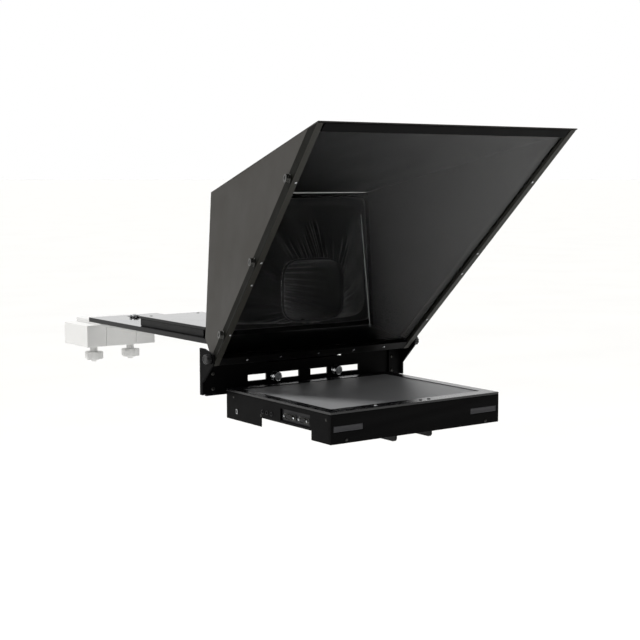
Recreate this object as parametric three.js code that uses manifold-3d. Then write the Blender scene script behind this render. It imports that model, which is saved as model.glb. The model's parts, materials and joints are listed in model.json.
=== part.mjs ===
// Studio teleprompter on a camera base plate, in millimetres.
// +X is right as the speaker sees it, +Y runs back towards the camera operator, +Z is up.
// The origin is in the middle of the underside of the tripod plate, where a head bolts on.
// Heights in the dimensions below are counted from the underside of the base plate.
import * as THREE from "three";
import { mergeVertices } from "three/addons/utils/BufferGeometryUtils.js";
import Module from "manifold-3d";

const wasm = await Module();
wasm.setup();

// ---- driving dimensions -------------------------------------------------------------------
const gap = 0.3; // clearance kept between touching pieces
const roundSides = 20; // facets round a small turned piece

const plate = { halfWidth: 90, front: -289, rear: 460, thick: 10.5 };
const tripodPlate = { halfWidth: 42, halfLength: 62, thick: 8 };
const plateSlot = { halfWidth: 6.2, front: 240, rear: 430 };

const bulkhead = { halfWidth: 224, front: -289, thick: 6, top: -13.5, bottom: -65.5 };
const bulkheadLedge = { halfWidth: 88, depth: 74, thick: 5 };
const bulkheadWing = { inner: 90.5, top: 9 }; // raised outer ends that close the gap under the hood
const spacer = { halfWidth: 90, setBack: 12 }; // block between the base plate and the ledge
const clampSlot = { inner: 13, outer: 132, middle: -40, height: 12 };
const clampX = 72; // monitor clamp screws, either side of the middle
const pin = { radius: 4, hole: 4.3 }; // clamp screws and hood pivots, and the bores they pass
const washer = { radius: 9, thick: 1.6 };

const monitor = { halfWidth: 190, depth: 325, height: 55, front: -630, top: -52 };
const screen = { halfWidth: 169, front: 28, rear: 303 };
const bezelThick = 4;
const fasciaThick = 4;
const wall = 3; // monitor casing sheet
const skirt = 18; // height by which the casing wall is cut up along the connector side
const skirtCut = { front: 56, rear: 210 };
const armPass = 60; // half width of the notch in the rear wall for the support arms
const socketWindow = { front: 60, rear: 148, bottom: -34, top: -13 };
const groove = { inner: 122, outer: 184, deep: 1.5, bottom: -35, top: -24 }; // in the fascia

const armX = 40; // support arms under the monitor, either side of the middle
const armThick = 4;
const armDrop = 13; // how far an arm reaches below the monitor
const armNose = { setBack: 12, round: 8 };
const armHeel = 22; // how far a blade runs back behind the bulkhead
const armTab = { halfWidth: 14, thick: 4, corner: 10 };

const glassAngle = 47; // slope of the beam splitter above the horizontal, degrees
const glassLength = 585; // length of the hood's front opening along that slope
const hoodFoot = { y: -324.2, z: -5.5, halfWidth: 230 }; // lower front edge of the hood
const flareBack = 0.23; // a hood side narrows by this for each mm towards the rear
const flareUp = 0.09; // and by this for each mm upwards
const hoodRear = { y: 80, top: 314, bottom: 42, halfTop: 183, halfBottom: 198 }; // from the foot
const hoodSheet = 2;
const rail = { wide: 20, thick: 12 };
const glassThick = 3;
const glassInset = 5; // glass face behind the front of its frame
const glassBite = 4; // how deep the glass sits in the frame's grooves
const topRailDepth = 22; // front height of the top rail, along the slope
const bottomRailBar = { depth: 14, lean: 0.3 }; // narrows by the lean for each mm backwards
const hingeAt = { along: 12, behind: 8 }; // hood pivot in the side rail
const railScrews = [75, 262, 455]; // places of the hood screws along each side rail

// Cheeks beside the hood: their reach above the hood's foot and round the pivot, and their feet.
const ear = { inner: 234, thick: 4, above: 31, behind: 22, before: 11, over: 9, under: 8 };
const earFoot = { inner: 205, lift: 4, reach: 10, height: 24 };
const hingeKnobSize = { radius: 9, height: 11, chamfer: 1.5, pinDepth: 8 };

const riser = { inner: 30, outer: 79, front: -40, rear: 228, height: 15 };
const cameraPlate = { halfWidth: 80, front: -48, rear: 232, thick: 6 };
const cameraSlot = { halfWidth: 5.2, front: -30, rear: 62 };
const cameraScrewY = 20;
// Side lock of the camera plate: its block, and the knob with its pin.
const lock = { thick: 5, halfLength: 14, pinRadius: 3, radius: 7, height: 12.7, chamfer: 1.5 };

const carriage = { halfWidth: 62, front: 280, rear: 584, thick: 10 };
const carriageBoltY = 403;
const weight = { halfWidth: 90, seam: 40, front: 470, rear: 592, height: 52 };
const weightKnob = { x: 49, y: 520, radius: 20, height: 19, stem: 16, tip: 5 };

// ---- finishes -----------------------------------------------------------------------------
const finish = (color, roughness, metalness) =>
  new THREE.MeshStandardMaterial({ color, roughness, metalness });
const anodised = () => finish(0x17181a, 0.45, 0.8);
const powder = () => finish(0x141416, 0.6, 0.3);
const plastic = () => finish(0x101012, 0.4, 0);
const board = () => finish(0x24221f, 0.85, 0);
const cloth = () => finish(0x0b0b0d, 0.95, 0);
const chrome = () => finish(0xc9ccd0, 0.15, 1);
const paleEnamel = () => finish(0xdcdcdc, 0.5, 0.1);
const glassy = (color, opacity) => {
  const made = finish(color, 0.05, 0);
  made.transparent = opacity < 1;
  made.opacity = opacity;
  return made;
};

// ---- shape helpers ------------------------------------------------------------------------
const X = new THREE.Vector3(1, 0, 0);
const Y = new THREE.Vector3(0, 1, 0);
const Z = new THREE.Vector3(0, 0, 1);

function toSolid(geometry) {
  const bare = geometry.index ? geometry.toNonIndexed() : geometry.clone();
  bare.deleteAttribute("normal");
  bare.deleteAttribute("uv");
  const merged = mergeVertices(bare, 1e-4);
  const vertProperties = new Float32Array(merged.attributes.position.array);
  const triVerts = new Uint32Array(merged.index.array);
  return new wasm.Manifold(new wasm.Mesh({ numProp: 3, vertProperties, triVerts }));
}

function fromSolid(solid) {
  const { vertProperties, triVerts } = solid.getMesh();
  const geometry = new THREE.BufferGeometry();
  geometry.setAttribute("position", new THREE.BufferAttribute(vertProperties, 3));
  geometry.setIndex(new THREE.BufferAttribute(triVerts, 1));
  const flat = geometry.toNonIndexed();
  flat.computeVertexNormals();
  return flat;
}

const cut = (body, ...tools) =>
  fromSolid(tools.reduce((left, tool) => left.subtract(toSolid(tool)), toSolid(body)));
const join = (first, ...others) =>
  fromSolid(others.reduce((sum, other) => sum.add(toSolid(other)), toSolid(first)));

// A box from its low and high corner on each axis.
function box([x0, x1], [y0, y1], [z0, z1]) {
  const made = new THREE.BoxGeometry(x1 - x0, y1 - y0, z1 - z0);
  return made.translate((x0 + x1) / 2, (y0 + y1) / 2, (z0 + z1) / 2);
}

// A body turned about +Z from [radius, height] steps, closed on its axis at both ends.
function turned(steps, sides = roundSides) {
  const low = steps[0][1];
  const high = steps[steps.length - 1][1];
  const profile = [[0, low], ...steps, [0, high]].map(([r, h]) => new THREE.Vector2(r, h));
  return new THREE.LatheGeometry(profile, sides).rotateX(Math.PI / 2);
}

// A turned body moved to a point, with its +Z along a direction.
function turnedAt(steps, at, along, sides) {
  const spin = new THREE.Quaternion().setFromUnitVectors(Z, along.clone().normalize());
  return turned(steps, sides).applyQuaternion(spin).translate(...at);
}

const outline = (points) => new THREE.Shape(points.map(([u, v]) => new THREE.Vector2(u, v)));

// A flat outline in (Y, Z), extruded from x0 to x1.
function sidePlate(shape, x0, x1) {
  const made = new THREE.ExtrudeGeometry(shape, {
    depth: x1 - x0,
    bevelEnabled: false,
    curveSegments: 6,
  });
  return made.applyMatrix4(new THREE.Matrix4().makeBasis(Y, Z, X)).translate(x0, 0, 0);
}

// A flat outline in (X, Z), extruded from y0 back to y1.
function crossPlate(shape, y0, y1) {
  const made = new THREE.ExtrudeGeometry(shape, {
    depth: y1 - y0,
    bevelEnabled: false,
    curveSegments: 6,
  });
  const turn = new THREE.Matrix4().makeBasis(X, Z, Y.clone().negate());
  return made.applyMatrix4(turn).translate(0, y1, 0);
}

// The closed surface with its faces pointing out, whichever way its triangles were listed.
function facingOut(index, position) {
  const corner = (i) => new THREE.Vector3(...position.slice(3 * index[i], 3 * index[i] + 3));
  let volume = 0;
  for (let i = 0; i < index.length; i += 3) {
    volume += corner(i).dot(corner(i + 1).cross(corner(i + 2)));
  }
  const made = new THREE.BufferGeometry();
  made.setAttribute("position", new THREE.Float32BufferAttribute(position, 3));
  made.setIndex(volume > 0 ? index : [...index].reverse());
  return made.toNonIndexed();
}

// A six-sided solid from two quads, each given as four corners in the same order.
function sixSided(near, far) {
  const position = [...near, ...far].flat();
  const index = [0, 1, 2, 0, 2, 3, 4, 6, 5, 4, 7, 6];
  for (let i = 0; i < 4; i += 1) {
    const j = (i + 1) % 4;
    index.push(i, i + 4, j + 4, i, j + 4, j);
  }
  return facingOut(index, position);
}

// A ring of material from closed loops of points, each joined to the next and the last to the first.
function loftedRing(loops) {
  const count = loops[0].length;
  const index = [];
  loops.forEach((_, loop) => {
    const here = loop * count;
    const next = ((loop + 1) % loops.length) * count;
    for (let i = 0; i < count; i += 1) {
      const j = (i + 1) % count;
      index.push(here + i, next + i, next + j, here + i, next + j, here + j);
    }
  });
  return facingOut(index, loops.flat(2));
}

function piece(name, geometry, material) {
  const mesh = new THREE.Mesh(geometry, material);
  mesh.name = name;
  return mesh;
}

const sides = [
  { word: "left", sign: -1 },
  { word: "right", sign: 1 },
];

// Low and high ends of a span that is mirrored to one side.
const span = (sign, a, b) => (sign > 0 ? [a, b] : [-b, -a]);

// ---- base plate and bulkhead --------------------------------------------------------------
function basePlate() {
  const body = box(
    [-plate.halfWidth, plate.halfWidth],
    [plate.front, plate.rear],
    [0, plate.thick],
  );
  const slot = box(
    [-plateSlot.halfWidth, plateSlot.halfWidth],
    [plateSlot.front, plateSlot.rear],
    [-1, plate.thick + 1],
  );
  return piece("base_plate", cut(body, slot), anodised());
}

// Adapter plate between a tripod head and the base plate; its underside is the tripod face.
function tripodAdapter() {
  const { halfWidth, halfLength, thick } = tripodPlate;
  const chamfer = 4;
  const shape = outline([
    [-halfWidth, -gap],
    [-halfWidth, -gap - thick + chamfer],
    [-halfWidth + chamfer, -gap - thick],
    [halfWidth - chamfer, -gap - thick],
    [halfWidth, -gap - thick + chamfer],
    [halfWidth, -gap],
  ]);
  return piece("tripod_plate", crossPlate(shape, -halfLength, halfLength), anodised());
}

function frontSpacer() {
  const body = box(
    [-spacer.halfWidth, spacer.halfWidth],
    [bulkhead.front + spacer.setBack, bulkhead.front + bulkheadLedge.depth],
    [bulkhead.top + gap, -gap],
  );
  return piece("front_spacer", body, powder());
}

function bulkheadPlate() {
  const { halfWidth, front, thick, top, bottom } = bulkhead;
  const rear = front + thick;
  const ledge = box(
    [-bulkheadLedge.halfWidth, bulkheadLedge.halfWidth],
    [rear - 1, front + bulkheadLedge.depth],
    [top - bulkheadLedge.thick, top],
  );
  const slots = sides.map(({ sign }) =>
    box(
      span(sign, clampSlot.inner, clampSlot.outer),
      [front - 1, rear + 1],
      [clampSlot.middle - clampSlot.height / 2, clampSlot.middle + clampSlot.height / 2],
    ),
  );
  const upright = cut(box([-halfWidth, halfWidth], [front, rear], [bottom, top]), ...slots);
  const wings = sides.map(({ sign }) =>
    box(span(sign, bulkheadWing.inner, halfWidth), [front, rear], [top - 1, bulkheadWing.top]),
  );
  return piece("bulkhead", join(upright, ledge, ...wings), powder());
}

// Bore that clears a pin or clamp screw, long enough to pass any plate.
const pinBore = [[pin.hole, -20], [pin.hole, 20]];

// Hood pivot, in row coordinates: a point set into the side rail near its foot.
const slope = THREE.MathUtils.degToRad(glassAngle);
const pivot = {
  y: hoodFoot.y - hingeAt.along * Math.cos(slope) + hingeAt.behind * Math.sin(slope),
  z: hoodFoot.z + hingeAt.along * Math.sin(slope) + hingeAt.behind * Math.cos(slope),
};

// Ear that carries the hood: an upright cheek with a foot screwed to the bulkhead's face.
function hingeEar({ word, sign }) {
  const back = bulkhead.front - gap;
  const low = bulkhead.bottom + earFoot.lift;
  const cheekShape = outline([
    [back, low],
    [back, hoodFoot.z + ear.above],
    [pivot.y + ear.behind, hoodFoot.z + ear.above],
    [pivot.y - ear.before, pivot.z + ear.over],
    [pivot.y - ear.before, pivot.z - ear.under],
    [back - earFoot.reach, low + earFoot.height],
    [back - earFoot.reach, low],
  ]);
  const cheek = sidePlate(cheekShape, ...span(sign, ear.inner, ear.inner + ear.thick));
  const foot = box(
    span(sign, earFoot.inner, ear.inner + 1),
    [back - ear.thick, back],
    [low, bulkheadWing.top],
  );
  const hole = turnedAt(pinBore, [sign * ear.inner, pivot.y, pivot.z], X);
  return piece(`hinge_ear_${word}`, cut(join(cheek, foot), hole), powder());
}

// Hand knob on the hood pivot: its pin passes the ear and ends in the side rail.
function hingeKnob({ word, sign }) {
  const out = ear.inner + ear.thick - hoodFoot.halfWidth + gap;
  const { radius, height, chamfer, pinDepth } = hingeKnobSize;
  const steps = [
    [pin.radius, -pinDepth],
    [pin.radius, out],
    [radius, out],
    [radius, out + height - chamfer],
    [radius - chamfer, out + height],
  ];
  const at = [sign * hoodFoot.halfWidth, pivot.y, pivot.z];
  return piece(`hinge_knob_${word}`, turnedAt(steps, at, X.clone().multiplyScalar(sign)), plastic());
}

// ---- monitor and its support arms ---------------------------------------------------------
// One bent arm: a blade under the monitor, turned up behind the bulkhead into a clamp tab.
function supportArm({ word, sign }) {
  const rear = bulkhead.front + bulkhead.thick + gap;
  const floor = monitor.top - monitor.height;
  const bladeTop = floor + skirt - wall - gap;
  const nose = monitor.front + armNose.setBack;
  const foot = floor - armDrop;
  const bladeShape = new THREE.Shape();
  bladeShape.moveTo(nose, bladeTop);
  bladeShape.lineTo(nose, foot + armNose.round);
  bladeShape.quadraticCurveTo(nose, foot, nose + armNose.round, foot);
  bladeShape.lineTo(rear + armHeel, foot);
  bladeShape.lineTo(rear + armHeel, bulkhead.bottom - armThick);
  bladeShape.lineTo(rear, bulkhead.bottom - armThick);
  bladeShape.lineTo(rear, bladeTop);
  const inner = armX - armThick / 2;
  const blade = sidePlate(bladeShape, ...span(sign, inner, inner + armThick));
  const tabTop = bulkhead.top - bulkheadLedge.thick - 3;
  const tabShape = outline(
    [
      [inner, foot],
      [inner + armThick + armTab.corner, foot],
      [clampX + armTab.halfWidth, bulkhead.bottom - armTab.corner],
      [clampX + armTab.halfWidth, tabTop],
      [clampX - armTab.halfWidth, tabTop],
      [clampX - armTab.halfWidth, bulkhead.bottom + armTab.corner],
      [inner, bulkhead.bottom - armTab.corner],
    ].map(([x, z]) => [sign * x, z]),
  );
  const tab = crossPlate(tabShape, rear, rear + armTab.thick);
  const hole = turnedAt(pinBore, [sign * clampX, rear, clampSlot.middle], Y);
  return piece(`support_arm_${word}`, cut(join(blade, tab), hole), anodised());
}

function clampWasher({ word, sign }) {
  const ring = turnedAt([[washer.radius, 0], [washer.radius, washer.thick]], [0, 0, 0], Y);
  const bore = turnedAt(pinBore, [0, 0, 0], Y);
  const made = piece(`clamp_washer_${word}`, cut(ring, bore), chrome());
  made.position.set(sign * clampX, bulkhead.front - gap - washer.thick, clampSlot.middle);
  return made;
}

// Knurled screw that clamps an arm through the bulkhead's slot.
function clampScrew({ word, sign }) {
  const head = 2 * gap + washer.thick;
  const shank = bulkhead.thick + gap + armTab.thick + 3;
  const steps = [
    [pin.radius, -shank],
    [pin.radius, head],
    [8, head],
    [8.5, head + 1.5],
    [8.5, head + 10],
    [5, head + 12],
  ];
  const made = piece(
    `clamp_screw_${word}`,
    turnedAt(steps, [0, 0, 0], Y.clone().negate()),
    chrome(),
  );
  made.position.set(sign * clampX, bulkhead.front, clampSlot.middle);
  return made;
}

// Casing: left, rear and right walls; the lower edge is cut up to clear the sockets.
function monitorCasing() {
  const { halfWidth, depth, height } = monitor;
  const front = fasciaThick + gap;
  const top = -bezelThick - gap;
  const outer = box([-halfWidth, halfWidth], [front, depth], [-height, top]);
  const inside = box(
    [-halfWidth + wall, halfWidth - wall],
    [front - 1, depth - wall],
    [-height - 1, top + 1],
  );
  const sideCut = box(
    [-halfWidth - 1, halfWidth + 1],
    [skirtCut.front, skirtCut.rear],
    [-height - 1, -height + skirt],
  );
  const notch = box(
    [-armPass, armPass],
    [depth - wall - 1, depth + 1],
    [-height - 1, -height + skirt],
  );
  const window = box(
    [-halfWidth - 1, -halfWidth + wall + 1],
    [socketWindow.front, socketWindow.rear],
    [socketWindow.bottom, socketWindow.top],
  );
  return piece("monitor_casing", cut(outer, inside, sideCut, notch, window), powder());
}

function monitorFloor() {
  const inset = wall + gap;
  const body = box(
    [-monitor.halfWidth + inset, monitor.halfWidth - inset],
    [fasciaThick + 2 * gap, monitor.depth - inset],
    [-monitor.height + skirt - wall + gap, -monitor.height + skirt],
  );
  return piece("monitor_floor", body, powder());
}

function frontFascia() {
  const body = box(
    [-monitor.halfWidth, monitor.halfWidth],
    [0, fasciaThick],
    [-monitor.height, -bezelThick - gap],
  );
  const grooves = sides.map(({ sign }) =>
    box(span(sign, groove.inner, groove.outer), [-1, groove.deep], [groove.bottom, groove.top]),
  );
  return piece("front_fascia", cut(body, ...grooves), powder());
}

const buttonXs = { power_button: -84, menu_button: 16, input_button: 35 };
const buttonY = 14;

function topBezel() {
  const body = box([-monitor.halfWidth, monitor.halfWidth], [0, monitor.depth], [-bezelThick, 0]);
  const opening = box(
    [-screen.halfWidth, screen.halfWidth],
    [screen.front, screen.rear],
    [-bezelThick - 1, 1],
  );
  const holes = Object.values(buttonXs).map((x) =>
    turnedAt([[3.4, -10], [3.4, 10]], [x, buttonY, 0], Z, 12),
  );
  return piece("top_bezel", cut(body, opening, ...holes), plastic());
}

function screenGlass() {
  const body = box(
    [-screen.halfWidth + gap, screen.halfWidth - gap],
    [screen.front + gap, screen.rear - gap],
    [-bezelThick + 0.1, -1.2],
  );
  return piece("screen_glass", body, glassy(0x33353a, 1));
}

function lcdPanel() {
  const body = box(
    [-screen.halfWidth - 4, screen.halfWidth + 4],
    [screen.front - 4, screen.rear + 4],
    [-16, -bezelThick - gap],
  );
  return piece("lcd_panel", body, finish(0x8c8f93, 0.4, 0.6));
}

function driverBoard() {
  const base = box([-150, 10], [60, 200], [-33, -31.4]);
  const chips = [0, 1, 2].map((i) =>
    box([-130 + 45 * i, -108 + 45 * i], [90 + 20 * i, 112 + 20 * i], [-31.5, -28]),
  );
  const capacitors = [0, 1, 2, 3].map((i) =>
    turnedAt([[5, 0], [5, 12]], [-20 - 14 * i, 80, -31.6], Z, 12),
  );
  return piece("driver_board", join(base, ...chips, ...capacitors), finish(0x1d4a2c, 0.6, 0));
}

function socketPanel() {
  const x = -monitor.halfWidth + wall + gap;
  return piece("socket_panel", box([x, x + 1.5], [56, 152], [-36, -10]), finish(0x6f7174, 0.4, 0.8));
}

// A screened socket shell that stands through the window in the casing.
function socketShell(name, y0, y1) {
  const x = -monitor.halfWidth + wall;
  return piece(name, box([x - 5, x], [y0, y1], [-30, -19]), chrome());
}

// A press button held under the bezel by its collar.
function pressButton(name, x) {
  const steps = [[4.4, -9], [4.4, -bezelThick - 1.3], [3, -bezelThick - 1.3], [3, 0.6], [2.4, 1.1]];
  const made = piece(name, turned(steps, 12), plastic());
  made.position.set(x, buttonY, 0);
  return made;
}

// ---- hood: beam splitter, its frame, side sheets, roof and rear frame ---------------------
// Outer half width of the hood at a place given along the glass slope and behind it.
function halfWidthAt(along, behind) {
  const y = -along * Math.cos(slope) + behind * Math.sin(slope);
  const z = along * Math.sin(slope) + behind * Math.cos(slope);
  return hoodFoot.halfWidth - flareBack * y - flareUp * z;
}

// The same place as (y, z) from the hood's foot.
const fromFoot = (along, behind) => [
  -along * Math.cos(slope) + behind * Math.sin(slope),
  along * Math.sin(slope) + behind * Math.cos(slope),
];

const roofFront = fromFoot(glassLength, 0);
const roofFall = (roofFront[1] - hoodRear.top) / (hoodRear.y - roofFront[0]);
const roofHeight = (y) => roofFront[1] - roofFall * (y - roofFront[0]);

// Where a line parallel to the glass, at a distance behind it, meets the roof less a drop.
function alongAtRoof(behind, drop) {
  const [y0, z0] = fromFoot(0, behind);
  const [uy, uz] = fromFoot(1, 0);
  return (roofHeight(y0) - drop - z0) / (uz + roofFall * uy);
}

// In the glass frame's own group +Y runs up the slope and +Z towards the speaker.
function glassSlab(grow) {
  const low = rail.wide - glassBite - grow;
  const high = glassLength - topRailDepth + glassBite - 1 + grow;
  const face = glassInset - grow;
  const back = glassInset + glassThick + grow;
  const ring = (behind) =>
    [
      [-1, low],
      [1, low],
      [1, high],
      [-1, high],
    ].map(([sign, along]) => [
      sign * (halfWidthAt(along, glassInset) - rail.thick + glassBite + grow),
      along,
      -behind,
    ]);
  return sixSided(ring(face), ring(back));
}

function sideRail({ word, sign }) {
  const ring = (inset) =>
    [
      [0, 0],
      [0, rail.wide],
      [alongAtRoof(rail.wide, hoodSheet + gap), rail.wide],
      [alongAtRoof(0, hoodSheet + gap), 0],
    ].map(([along, behind]) => [
      sign * (halfWidthAt(along, behind) - inset),
      along,
      -behind,
    ]);
  const bar = sixSided(ring(0), ring(rail.thick));
  const holes = railScrews.map((along) =>
    turnedAt([[2.8, -7.6], [2.8, 5]], screwPlace(sign, along), screwAxis(sign), 12),
  );
  const pinAt = [sign * hoodFoot.halfWidth, hingeAt.along, -hingeAt.behind];
  const depth = hingeKnobSize.pinDepth + 1;
  const bore = [[pin.hole, -depth], [pin.hole, depth]];
  const pinHole = turnedAt(bore, pinAt, X.clone().multiplyScalar(sign), 16);
  return piece(`glass_rail_${word}`, cut(bar, glassSlab(gap), ...holes, pinHole), anodised());
}

// Screws stand square to the rail's outer face.
const screwAxis = (sign) => {
  const outward = new THREE.Vector3(sign, flareBack, flareUp).normalize();
  return outward.applyAxisAngle(X, slope - Math.PI);
};
const screwPlace = (sign, along) => [
  sign * halfWidthAt(along, rail.wide / 2),
  along,
  -rail.wide / 2,
];

function hoodScrew({ word, sign }, along, number) {
  const steps = [[2.5, -7], [2.5, 1], [7.5, 1], [8, 2], [8, 8], [5.5, 9.5]];
  const body = turnedAt(steps, screwPlace(sign, along), screwAxis(sign), 14);
  return piece(`hood_screw_${word}_${number}`, body, chrome());
}

function bottomRail() {
  const half = halfWidthAt(0, 0) - rail.thick - gap;
  const ring = (behind) => {
    const reach = half - behind * bottomRailBar.lean;
    return [
      [-reach, 0, -behind],
      [reach, 0, -behind],
      [reach, rail.wide, -behind],
      [-reach, rail.wide, -behind],
    ];
  };
  const bar = sixSided(ring(0), ring(bottomRailBar.depth));
  return piece("glass_rail_bottom", cut(bar, glassSlab(gap)), anodised());
}

function topRail() {
  const deep = glassInset + glassThick + gap;
  const low = glassLength - topRailDepth;
  const half = halfWidthAt(low, deep) - rail.thick - gap;
  const ring = (behind) => [
    [-half, low, -behind],
    [half, low, -behind],
    [half, alongAtRoof(behind, hoodSheet + gap), -behind],
    [-half, alongAtRoof(behind, hoodSheet + gap), -behind],
  ];
  const bar = sixSided(ring(0), ring(deep));
  return piece("glass_rail_top", cut(bar, glassSlab(gap)), anodised());
}

function beamSplitter() {
  return piece("beam_splitter_glass", glassSlab(0), glassy(0x20242a, 0.35));
}

// Thin side sheet: its front edge follows the rail, its rear edge the rear frame.
function sideSheet({ word, sign }) {
  const behind = rail.wide + gap;
  const top = alongAtRoof(behind, hoodSheet + gap);
  const corner = (along) => [halfWidthAt(along, behind), ...fromFoot(along, behind)];
  const corners = [
    corner(1),
    [hoodRear.halfBottom, hoodRear.y, hoodRear.bottom],
    [hoodRear.halfTop, hoodRear.y, hoodRear.top - hoodSheet - gap],
    corner(top),
  ];
  const ring = (inset) => corners.map(([x, y, z]) => [sign * (x - inset), y, z]);
  return piece(`hood_sheet_${word}`, sixSided(ring(0), ring(hoodSheet)), board());
}

function roofSheet() {
  const frontY = roofFront[0];
  const ring = (drop) => [
    [-halfWidthAt(glassLength, 0), frontY, roofHeight(frontY) - drop],
    [halfWidthAt(glassLength, 0), frontY, roofHeight(frontY) - drop],
    [hoodRear.halfTop, hoodRear.y, roofHeight(hoodRear.y) - drop],
    [-hoodRear.halfTop, hoodRear.y, roofHeight(hoodRear.y) - drop],
  ];
  return piece("hood_sheet_roof", sixSided(ring(0), ring(hoodSheet)), board());
}

// Narrow sheet that closes the hood below, from the bottom rail back under the rear frame.
function floorSheet() {
  const lift = 1.5;
  const [frontY, frontZ] = fromFoot(1, rail.wide + gap);
  const front = halfWidthAt(1, rail.wide + gap) - hoodSheet - 3 * gap;
  const rear = hoodRear.halfBottom - hoodSheet - 3 * gap;
  const rearTop = rearFrameBar.bottom - gap;
  const ring = (low) => [
    [-front, frontY, frontZ + lift + hoodSheet - low],
    [front, frontY, frontZ + lift + hoodSheet - low],
    [rear, hoodRear.y, rearTop - low],
    [-rear, hoodRear.y, rearTop - low],
  ];
  return piece("hood_sheet_floor", sixSided(ring(hoodSheet), ring(0)), board());
}

// Four-sided frame at the camera end, which the lens shroud is clamped to.
const rearFrameBar = { wide: 18, front: 70, rear: 79, bottom: 44 };

function rearFrame() {
  const slip = hoodSheet + 2 * gap;
  const top = roofHeight(rearFrameBar.rear) - slip;
  const { bottom } = rearFrameBar;
  const ring = (inset) =>
    outline([
      [-hoodRear.halfBottom + slip + inset, bottom + inset],
      [hoodRear.halfBottom - slip - inset, bottom + inset],
      [hoodRear.halfTop - slip - inset, top - inset],
      [-hoodRear.halfTop + slip + inset, top - inset],
    ]);
  const body = crossPlate(ring(0), rearFrameBar.front, rearFrameBar.rear);
  const inside = crossPlate(
    ring(rearFrameBar.wide),
    rearFrameBar.front - 1,
    rearFrameBar.rear + 1,
  );
  return piece("rear_frame", cut(body, inside), powder());
}

// Rounded loop of points in (X, Z) at one y: |x/a|^n + |z/b|^n = 1 about a centre height.
function roundedLoop(a, b, n, y, centre, count = 32) {
  return Array.from({ length: count }, (_, i) => {
    const angle = (2 * Math.PI * i) / count;
    const c = Math.cos(angle);
    const s = Math.sin(angle);
    const r = (Math.abs(c / a) ** n + Math.abs(s / b) ** n) ** (-1 / n);
    return [r * c, y, centre + r * s];
  });
}

// Cloth shroud: a funnel from the rear frame forward to the lens opening, whose inner end turns
// back as a sleeve that narrows to grip the lens barrel.
const shroud = { wall: 6, halfWidth: 180, halfHeight: 128, taper: 0.04, rear: 69.7, centre: 178 };
const mouth = { halfWidth: 69, halfHeight: 57.5, y: 5, centre: 128 };
const sleeveEnd = { radius: 48, y: 190 };
const crotch = { grow: 5.3, y: 11.6 }; // where the funnel's back meets the sleeve's outside

function shroudLoop(inset) {
  const { halfWidth, halfHeight, taper, rear, centre } = shroud;
  const loop = roundedLoop(halfWidth - inset, halfHeight - inset, 10, rear, centre);
  return loop.map(([x, y, z]) => [x * (1 - (taper * (z - centre)) / halfHeight), y, z]);
}

function lensShroud() {
  const opening = (grow, y) =>
    roundedLoop(mouth.halfWidth + grow, mouth.halfHeight + grow, 4, y, mouth.centre);
  const end = (radius) => roundedLoop(radius, radius, 2, sleeveEnd.y, mouth.centre);
  const loops = [
    shroudLoop(0),
    opening(shroud.wall, mouth.y),
    opening(0, mouth.y),
    end(sleeveEnd.radius),
    end(sleeveEnd.radius + shroud.wall),
    opening(crotch.grow, crotch.y),
    shroudLoop(2 * shroud.wall),
  ];
  return piece("lens_shroud", loftedRing(loops), cloth());
}

// ---- camera riser -------------------------------------------------------------------------
const riserLow = plate.thick + gap;
const riserTop = riserLow + riser.height;

function riserRail({ word, sign }) {
  const body = box(
    span(sign, riser.inner, riser.outer),
    [riser.front, riser.rear],
    [riserLow, riserTop],
  );
  return piece(`riser_rail_${word}`, body, anodised());
}

function cameraPlateBody() {
  const low = riserTop + gap;
  const body = box(
    [-cameraPlate.halfWidth, cameraPlate.halfWidth],
    [cameraPlate.front, cameraPlate.rear],
    [low, low + cameraPlate.thick],
  );
  const slot = box(
    [-cameraSlot.halfWidth, cameraSlot.halfWidth],
    [cameraSlot.front, cameraSlot.rear],
    [low - 1, low + cameraPlate.thick + 1],
  );
  return piece("camera_plate", cut(body, slot), anodised());
}

// Captive camera screw, hanging by its head under the plate's slot.
function cameraScrew() {
  const seat = riserTop - 1;
  const steps = [[12, seat - 8], [12, seat], [4.75, seat], [4.75, seat + 6], [4, seat + 6.8]];
  const made = piece("camera_screw", turned(steps), chrome());
  made.position.y = cameraScrewY;
  return made;
}

// Block under the camera plate whose side knob locks it on the right-hand riser rail.
function plateLock() {
  const { thick, halfLength, pinRadius, radius, height, chamfer } = lock;
  const y = (riser.front + riser.rear) / 2;
  const z = riserTop - riser.height / 2 + 0.5;
  const x = riser.outer + gap;
  const seat = thick + gap;
  const block = box([x, x + thick], [y - halfLength, y + halfLength], [riserLow, riserTop]);
  const bore = turnedAt([[pinRadius + gap, -5], [pinRadius + gap, 20]], [x, y, z], X);
  const knobSteps = [
    [pinRadius, gap],
    [pinRadius, seat],
    [radius, seat],
    [radius, seat + height - chamfer],
    [radius - chamfer, seat + height],
  ];
  return [
    piece("plate_lock_block", cut(block, bore), anodised()),
    piece("plate_lock_knob", turnedAt(knobSteps, [x, y, z], X), plastic()),
  ];
}

// ---- counterweight ------------------------------------------------------------------------
function weightCarriage() {
  const body = box(
    [-carriage.halfWidth, carriage.halfWidth],
    [carriage.front, carriage.rear],
    [-gap - carriage.thick, -gap],
  );
  const boltHole = turnedAt([[5.3, -20], [5.3, 5]], [0, carriageBoltY, 0], Z);
  const studHoles = sides.map(({ sign }) =>
    turnedAt([[5.3, -20], [5.3, -gap - 2]], [sign * weightKnob.x, weightKnob.y, 0], Z),
  );
  return piece("weight_carriage", cut(body, boltHole, ...studHoles), paleEnamel());
}

// Shouldered bolt that runs in the base plate's slot and holds the carriage up.
function carriageBolt() {
  const low = -gap - carriage.thick;
  const steps = [[5, low + 1], [5, plate.thick + gap], [12, plate.thick + gap], [12, plate.thick + 6]];
  const made = piece("carriage_bolt", turned(steps, 24), chrome());
  made.position.y = carriageBoltY;
  return made;
}

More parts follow.
